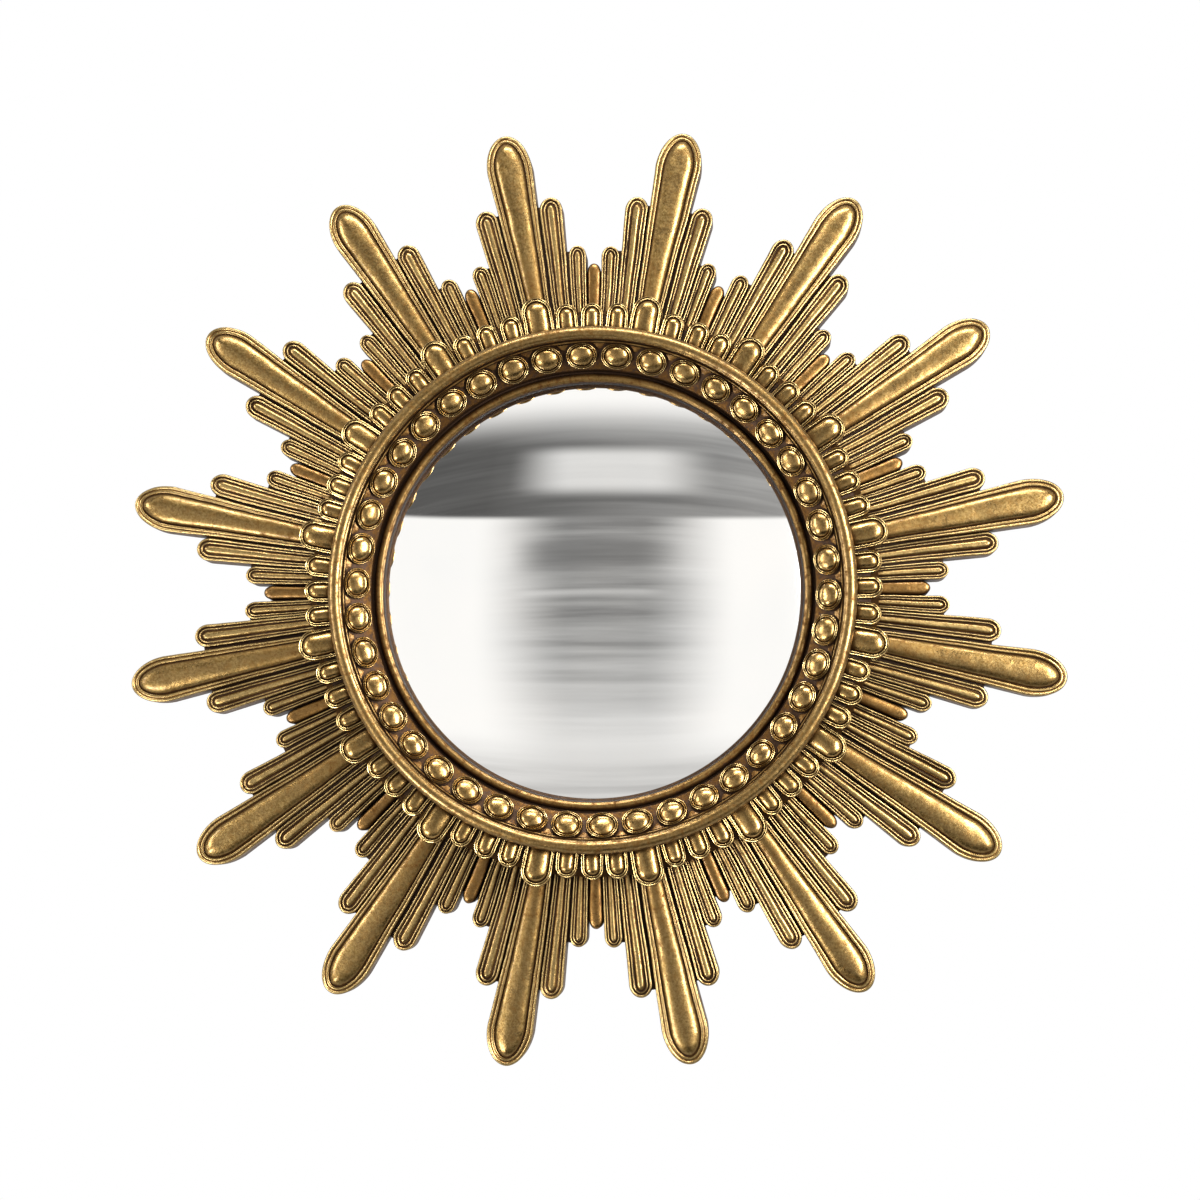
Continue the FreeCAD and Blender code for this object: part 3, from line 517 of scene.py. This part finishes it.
RIB_HALF = 7.42
rib_section = [(RIB_HALF, FOOT, 1.0), (RIB_HALF, -2.8, 0.7), (7.34, -1.2, 0.35),
               (7.12, -0.45, -0.2), (6.70, -0.06, -0.8), (6.20, 0.00, -0.8), (5.75, -0.25, 0.1),
               (5.45, -0.85, 0.7), (5.22, -1.30, 0.98), (4.95, -1.30, 0.98), (4.68, -0.92, 0.5),
               (4.32, -0.60, -0.5), (3.95, -0.60, -0.5), (3.62, -0.95, 0.5), (3.38, -1.45, 0.98),
               (3.02, -1.55, 0.95), (2.68, -1.25, 0.8), (2.30, -0.70, 0.3), (1.85, -0.25, 0.0),
               (1.20, 0.05, -0.2), (0.60, 0.15, -0.4), (0.05, 0.18, -0.4)]
MEDIUM_TIP = 255.8
medium_ray = ray(rib_section, MEDIUM_TIP, 8.8, 0.66, TIP_FACE - 1.8)

SMALL_HALF = 5.71
SMALL_TIP = 222.2
small_section = [(max(out * SMALL_HALF / RIB_HALF, 0.05), height * 0.9, hollow)
                 for out, height, hollow in rib_section]
small_ray = ray(small_section, SMALL_TIP, 6.8, 0.718, TIP_FACE - 2.8, sweep=24, stations=18)

ray_gilding = gilding("ray_gilding", (0.205, 0.120, 0.035, 1.0), (0.130, 0.078, 0.020, 1.0),
                      (0.48, 0.35, 0.145, 1.0), 0.24, 0.30, patina_and_shade=0.24)


def web(bm, half_angle, outer, order):
    """A plate behind the rays: a line swung through the fan's angle, then thickened backwards."""
    layer = bm.verts.layers.float["hollow"]
    face = WEB_FACE - order * STEP_BACK
    ends = [bm.verts.new((0, -face, radius)) for radius in (FAN_ROOT, outer)]
    bmesh.ops.transform(bm, matrix=clock(-half_angle), verts=ends)
    swung = bmesh.ops.spin(bm, geom=ends + [bm.edges.new(ends)], cent=(0, 0, 0), axis=(0, 1, 0),
                           angle=math.radians(2 * half_angle), steps=10, use_merge=False,
                           use_duplicate=False)
    front = {flat for vert in ends for flat in vert.link_faces}
    verts = set(ends)
    grown = True
    while grown:
        grown = {v for vert in verts for flat in vert.link_faces for v in flat.verts} - verts
        front |= {flat for vert in grown for flat in vert.link_faces}
        verts |= grown
    bmesh.ops.transform(bm, matrix=leaned(face), verts=list(verts))
    thick = bmesh.ops.extrude_face_region(bm, geom=list(front), use_keep_orig=True)["geom"]
    for item in thick:
        if isinstance(item, bmesh.types.BMVert):
            item.co.y = -SEAT_H - (order + 4) * STEP_BACK
    for vert in list(verts) + [item for item in thick if isinstance(item, bmesh.types.BMVert)]:
        vert[layer] = 1.0


# the fans were fixed by hand, so each stands a little off its place, in degrees clockwise
FAN_SWAY = (-0.23, -0.28, -0.50, -0.52, -0.66, -0.68, -0.60, -0.30,
            -0.20, 0.05, 0.36, 0.44, 0.48, 0.40, 0.10, -0.03)
dice = random.Random(16)
for sector in range(SECTORS):
    middle = (sector + 0.5) * SECTOR + FAN_SWAY[sector]
    bm = bmesh.new()
    bm.verts.layers.float.new("hollow")
    for order, (half_angle, outer) in enumerate(WEBS):
        web(bm, half_angle, outer, order)
    for template, angle, order in ((long_ray, 0.0, 0), (medium_ray, MEDIUM_AT, 1),
                                   (medium_ray, -MEDIUM_AT, 1), (small_ray, SMALL_AT, 2),
                                   (small_ray, -SMALL_AT, 2)):
        settled = Matrix.Translation((0, -order * STEP_BACK, dice.uniform(-0.6, 0.3)))
        place = clock(angle + dice.uniform(-0.10, 0.10)) @ settled
        appended(bm, template, place)
    bmesh.ops.transform(bm, matrix=clock(middle), verts=bm.verts)
    hand_worked(bm, 0.45, 26.0, seed=21.0)
    hand_worked(bm, 0.12, 6.0, seed=23.0)
    fan = piece(bm, f"carved_fan_{sector + 1:02d}", ray_gilding)
    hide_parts(f"ray_fan_{sector + 1:02d}")


# ---- darts between the fans ----
# A short plain ray covers the joint between each two fans. It is a simple domed tongue, and more
# of the red-brown bole shows on it than on the rest.

DART_TIP = 210.5
DART_HALF = 4.49
dart_section = [(DART_HALF, FOOT, 1.0), (DART_HALF, -3.0, 0.8), (4.42, -1.6, 0.5),
                (4.2, -0.8, 0.2)]
dart_section += [(out, height, 0.0) for out, height, _ in dome_points(3.9, -0.5, 1.4, 7, 2.0, 0.05)]
dart_template = ray(dart_section, DART_TIP, 6.4, 0.79, TIP_FACE - 4.2, sweep=18, stations=10)
dart_gilding = gilding("dart_gilding", (0.185, 0.096, 0.024, 1.0), (0.110, 0.054, 0.012, 1.0),
                       (0.42, 0.27, 0.10, 1.0), 0.24, 0.35, patina_and_shade=0.16)
bm = bmesh.new()
for sector in range(SECTORS):
    sway = (FAN_SWAY[sector - 1] + FAN_SWAY[sector]) / 2
    place = clock(sector * SECTOR + sway)
    settled = Matrix.Translation((0, -3 * STEP_BACK, dice.uniform(-1.0, 0.3)))
    appended(bm, dart_template, place @ settled)
hand_worked(bm, 0.4, 14.0, seed=31.0)
darts = piece(bm, "dart_rays_carved", dart_gilding)
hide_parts("dart_rays")


# ---- the convex glass ----
# A bulged disc of 3 mm glass, silvered on its back. It sits behind the ring's ledge on a felt
# gasket and is pressed forwards by the spacer ring.

GLASS_R = 137.5
GLASS_SPHERE = 440.69
GLASS_EDGE_H = 41.48
GLASS_T = 3.0
GLASS_RINGS = 40

silvering = bpy.data.materials.new("silvered_glass_front")
silvering.use_nodes = True
tree = silvering.node_tree
surface = tree.nodes["Principled BSDF"]
coords = node(tree, "ShaderNodeTexCoord").outputs["Object"]
tone = speckle(tree, coords, 14.0, 2.0, 0.3, 0.7)
tree.links.new(mixed(tree, tone, (0.84, 0.85, 0.85, 1.0), (0.88, 0.88, 0.87, 1.0)),
               surface.inputs["Base Color"])
swim = node(tree, "ShaderNodeTexNoise", ("Vector", coords), ("Scale", 9.0), ("Detail", 1.0))
flow = node(tree, "ShaderNodeBump", ("Strength", 0.05), ("Distance", 0.0006),
            ("Height", swim.outputs["Fac"]))
tree.links.new(flow.outputs["Normal"], surface.inputs["Normal"])
surface.inputs["Metallic"].default_value = 1.0
surface.inputs["Roughness"].default_value = 0.03
surface.inputs["Coat Weight"].default_value = 1.0
surface.inputs["Coat Roughness"].default_value = 0.0

bm = bmesh.new()
centre_h = GLASS_EDGE_H - math.sqrt(GLASS_SPHERE ** 2 - GLASS_R ** 2)
widest = math.asin(GLASS_R / GLASS_SPHERE)
cap = []
for sphere, order in ((GLASS_SPHERE, range(GLASS_RINGS + 1)),
                      (GLASS_SPHERE - GLASS_T, range(GLASS_RINGS, -1, -1))):
    for ring in order:
        turn = widest * ring / GLASS_RINGS
        cap.append((sphere * math.sin(turn), centre_h + sphere * math.cos(turn), 0.0))
turned(bm, section_edges(bm, cap), 160)
glass = piece(bm, "convex_glass", silvering)
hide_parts("mirror_glass")


# ---- the back: plywood ring, board, spacer and felt ----
# The ring is birch plywood, sealed with a brown stain. The board is hardboard with its smooth
# side out. The spacer is a bent strip of bare wood, and the gasket black felt.

def dressed(name, base, second, rough, scale, grain=(1.0, 1.0, 1.0), metallic=0.0, depth=0.0002):
    """A plain workshop finish: two close tones in a grain, with roughness and a little bump."""
    material = bpy.data.materials.new(name)
    material.use_nodes = True
    tree = material.node_tree
    surface = tree.nodes["Principled BSDF"]
    coords = node(tree, "ShaderNodeTexCoord").outputs["Object"]
    drawn = node(tree, "ShaderNodeMapping", ("Vector", coords), ("Scale", grain)).outputs[0]
    streaks = speckle(tree, drawn, scale, 6.0, 0.32, 0.68)
    smudges = speckle(tree, coords, 22.0, 3.0, 0.35, 0.75)
    colour = mixed(tree, streaks, base, second)
    colour = mixed(tree, sums(tree, "MULTIPLY", smudges, 0.3), colour, second)
    tree.links.new(colour, surface.inputs["Base Color"])
    tree.links.new(span(tree, streaks, 0.0, 1.0, rough, rough + 0.14), surface.inputs["Roughness"])
    relief = node(tree, "ShaderNodeBump", ("Strength", 0.4), ("Distance", depth),
                  ("Height", streaks))
    tree.links.new(relief.outputs["Normal"], surface.inputs["Normal"])
    surface.inputs["Metallic"].default_value = metallic
    return material


def finish_nodes(material, *names):
    """Give CAD nodes a finish in the slots that they have."""
    for name in names:
        for slot in nodes[name].material_slots:
            slot.material = material


finish_nodes(dressed("stained_plywood", (0.30, 0.19, 0.10, 1), (0.20, 0.12, 0.06, 1), 0.5, 70.0,
                     grain=(0.16, 2.2, 2.4)), "backing_ring")
finish_nodes(dressed("hardboard_brown", (0.17, 0.095, 0.05, 1), (0.12, 0.065, 0.035, 1), 0.45,
                     420.0), "back_board")
finish_nodes(dressed("bare_lime_strip", (0.52, 0.37, 0.21, 1), (0.42, 0.28, 0.15, 1), 0.6, 60.0,
                     grain=(1.0, 8.0, 1.0)), "spacer_ring")
finish_nodes(dressed("black_felt", (0.03, 0.03, 0.03, 1), (0.05, 0.05, 0.05, 1), 0.9, 900.0,
                     depth=0.0006), "glass_gasket")


# ---- fittings ----
# Turned and stamped brass turn buttons under round-headed brass screws hold the board. A folded
# zinc-plated strap carries the wire ring that hangs the mirror. The countersunk screws are
# zinc-plated steel, and four rubber pads keep the back off the wall.

finish_nodes(dressed("stamped_brass", (0.62, 0.44, 0.17, 1), (0.48, 0.32, 0.11, 1), 0.24, 500.0,
                     grain=(1.0, 1.0, 0.2), metallic=1.0, depth=0.00008),
             "turn_button_screws", *[f"turn_button_{i}" for i in range(1, 7)])
finish_nodes(dressed("zinc_plate", (0.60, 0.60, 0.59, 1), (0.50, 0.50, 0.49, 1), 0.28, 600.0,
                     grain=(0.3, 1.0, 1.0), metallic=1.0, depth=0.00008),
             "strap_hanger", "hanger_ring", "hanger_screws")
finish_nodes(dressed("yellow_zinc", (0.62, 0.53, 0.34, 1), (0.52, 0.45, 0.30, 1), 0.3, 600.0,
                     metallic=1.0, depth=0.00008), "fan_screws", "ring_screws")
finish_nodes(dressed("pad_rubber_black", (0.022, 0.022, 0.022, 1), (0.035, 0.035, 0.034, 1), 0.62,
                     700.0, depth=0.0004), "wall_pads")


# ---- the studio ----
# A white surround, four softboxes, four dull cards and a painted room that the gilding and the
# glass reflect. The mirror hangs free, as in the photo, with no wall or floor in sight. The camera
# stands a little to the right of the axis and below it.

def painted_light(name, strength):
    """A flat white glow that only mirrors see; the camera looks through it."""
    material = bpy.data.materials.new(name)
    material.use_nodes = True
    tree = material.node_tree
    tree.nodes.clear()
    shade = node(tree, "ShaderNodeEmission", ("Color", (1.0, 1.0, 1.0, 1.0)),
                 ("Strength", strength))
    clear = node(tree, "ShaderNodeBsdfTransparent")
    rays = node(tree, "ShaderNodeLightPath")
    either = node(tree, "ShaderNodeMixShader", (0, rays.outputs["Is Glossy Ray"]),
                  (1, clear.outputs[0]), (2, shade.outputs[0]))
    node(tree, "ShaderNodeOutputMaterial", ("Surface", either.outputs[0]))
    return material


def card(name, centre, width, height, strength):
    """A flat card that faces the mirror's centre."""
    bm = bmesh.new()
    bmesh.ops.create_grid(bm, x_segments=1, y_segments=1, size=0.5)
    bmesh.ops.scale(bm, vec=(width, height, 1), verts=bm.verts)
    facing = (-Vector(centre)).to_track_quat("Z", "Y").to_matrix().to_4x4()
    bmesh.ops.transform(bm, matrix=Matrix.Translation(centre) @ facing, verts=bm.verts)
    mesh = bpy.data.meshes.new(name)
    bm.to_mesh(mesh)
    bm.free()
    made = bpy.data.objects.new(name, mesh)
    bpy.context.scene.collection.objects.link(made)
    mesh.materials.append(painted_light(name + "_shade", strength))
    made.visible_shadow = False
    return made


def softbox(name, centre, width, height, power):
    """A rectangular lamp that faces the mirror's centre."""
    lamp = bpy.data.lights.new(name, "AREA")
    lamp.shape = "RECTANGLE"
    lamp.size, lamp.size_y = width, height
    lamp.energy = power
    made = bpy.data.objects.new(name, lamp)
    made.matrix_world = (Matrix.Translation(centre)
                         @ Vector(centre).to_track_quat("Z", "Y").to_matrix().to_4x4())
    bpy.context.scene.collection.objects.link(made)
    return made


card("low_card", (0.0, -1.0, -1.25), 4.0, 0.9, 0.05)
card("left_card", (-3.0, -0.9, 0.2), 1.2, 3.4, 0.16)
card("top_card", (0.0, -1.6, 3.0), 6.0, 1.5, 0.25)
card("right_card", (2.5, -1.1, 0.0), 1.2, 3.2, 0.22)

# The room opposite: pale walls, a dark beam with a window in it, and a grey zone in the middle.
# It is painted on one card in soft streaks. Its places are in metres across and up the card.
room = card("room_card", (0.0, -3.5, 0.0), 14.0, 9.0, 1.0)
tree = room.data.materials[0].node_tree
place = node(tree, "ShaderNodeTexCoord").outputs["Object"]
axes = node(tree, "ShaderNodeSeparateXYZ", ("Vector", place)).outputs
stretched = node(tree, "ShaderNodeMapping", ("Vector", place), ("Scale", (0.25, 1.0, 7.5)))
streaks = speckle(tree, stretched.outputs[0], 1.0, 6.0, 0.3, 0.7)


def window(low_out, low_in, high_in, high_out, value):
    """One between the inner limits, nothing beyond the outer ones, and soft between."""
    rises = node(tree, "ShaderNodeMapRange", ("Value", value), ("From Min", low_out),
                 ("From Max", low_in), interpolation_type="SMOOTHSTEP").outputs["Result"]
    falls = node(tree, "ShaderNodeMapRange", ("Value", value), ("From Min", high_out),
                 ("From Max", high_in), interpolation_type="SMOOTHSTEP").outputs["Result"]
    return sums(tree, "MULTIPLY", rises, falls)


def toned(base, share, tone):
    """Bring a brightness some way towards a tone."""
    blend = node(tree, "ShaderNodeMix", (0, share), (2, base), (3, tone), data_type="FLOAT")
    return blend.outputs[0]


across, up = axes["X"], axes["Z"]
bend = sums(tree, "MULTIPLY", sums(tree, "MULTIPLY", across, across), 0.04)
level_up = sums(tree, "SUBTRACT", up, bend)
level = toned(1.13, window(-9.0, -8.0, -2.1, -1.35, up), span(tree, streaks, 0.0, 1.0, 0.56, 0.84))
grey = sums(tree, "MULTIPLY", window(-1.75, -0.45, 0.30, 1.55, across),
            window(-2.5, 0.2, 1.15, 1.5, up))
ragged = sums(tree, "MULTIPLY", grey, span(tree, streaks, 0.0, 1.0, 0.66, 1.05), clamp=True)
level = toned(level, ragged, 0.26)
deep = sums(tree, "MULTIPLY", window(-1.3, -0.7, 0.2, 0.9, across),
            window(0.46, 0.70, 0.84, 1.04, up))
level = toned(level, sums(tree, "MULTIPLY", deep, 0.65), 0.16)
gleam = sums(tree, "MULTIPLY", window(-1.3, -0.9, 0.3, 0.8, across),
             window(0.24, 0.30, 0.31, 0.36, up))
level = toned(level, sums(tree, "MULTIPLY", gleam, 0.4), 0.95)
beam_tone = span(tree, across, -1.6, 1.8, 0.12, 0.34)
beam_tone = sums(tree, "MULTIPLY", beam_tone, span(tree, streaks, 0.0, 1.0, 0.75, 1.35))
level = toned(level, window(1.15, 1.23, 2.2, 3.2, level_up), beam_tone)
pane = sums(tree, "MULTIPLY", window(-1.35, -0.5, 0.45, 1.4, across),
            window(1.44, 1.66, 2.05, 2.28, level_up))
level = toned(level, sums(tree, "MULTIPLY", pane, span(tree, streaks, 0.0, 1.0, 1.0, 0.85)), 0.9)
shade = next(n for n in tree.nodes if n.bl_idname == "ShaderNodeEmission")
shade.inputs["Color"].default_value = (1.0, 0.98, 0.955, 1.0)
tree.links.new(level, shade.inputs["Strength"])

softbox("right_softbox", (1.75, -1.75, 0.35), 0.8, 1.8, 150.0)
softbox("left_softbox", (-2.5, -1.5, 0.5), 0.7, 1.6, 55.0)
softbox("top_softbox", (0.1, -1.3, 2.1), 1.8, 0.55, 95.0)
softbox("low_left_softbox", (-1.0, -1.0, -0.9), 0.6, 0.45, 20.0)

world = bpy.data.worlds.new("studio")
bpy.context.scene.world = world
world.use_nodes = True
tree = world.node_tree
rays = node(tree, "ShaderNodeLightPath").outputs
seen = sums(tree, "ADD", rays["Is Camera Ray"], rays["Is Glossy Ray"], clamp=True)
seen = sums(tree, "ADD", seen, rays["Is Transmission Ray"], clamp=True)
tree.links.new(span(tree, seen, 0.0, 1.0, 0.45, 1.0), tree.nodes["Background"].inputs["Strength"])
tree.nodes["Background"].inputs["Color"].default_value = (1.0, 1.0, 1.0, 1.0)

CAMERA_AWAY = 2.2
CAMERA_TOWARDS = Vector((0.0635, -1.0, -0.097))
LOOKS_AT = Vector((0.0030, -0.027, -0.0038))
VIEW_WIDTH = 0.758                       # what the picture spans at the rays' tips

camera = bpy.data.cameras.new("camera")
camera.sensor_width = 36.0
camera.angle = 2 * math.atan(VIEW_WIDTH / 2 / CAMERA_AWAY)
stand = bpy.data.objects.new("camera", camera)
stand.matrix_world = (Matrix.Translation(LOOKS_AT + CAMERA_TOWARDS.normalized() * CAMERA_AWAY)
                      @ CAMERA_TOWARDS.to_track_quat("Z", "Y").to_matrix().to_4x4())
bpy.context.scene.collection.objects.link(stand)
bpy.context.scene.camera = stand
bpy.context.scene.view_settings.view_transform = "Standard"
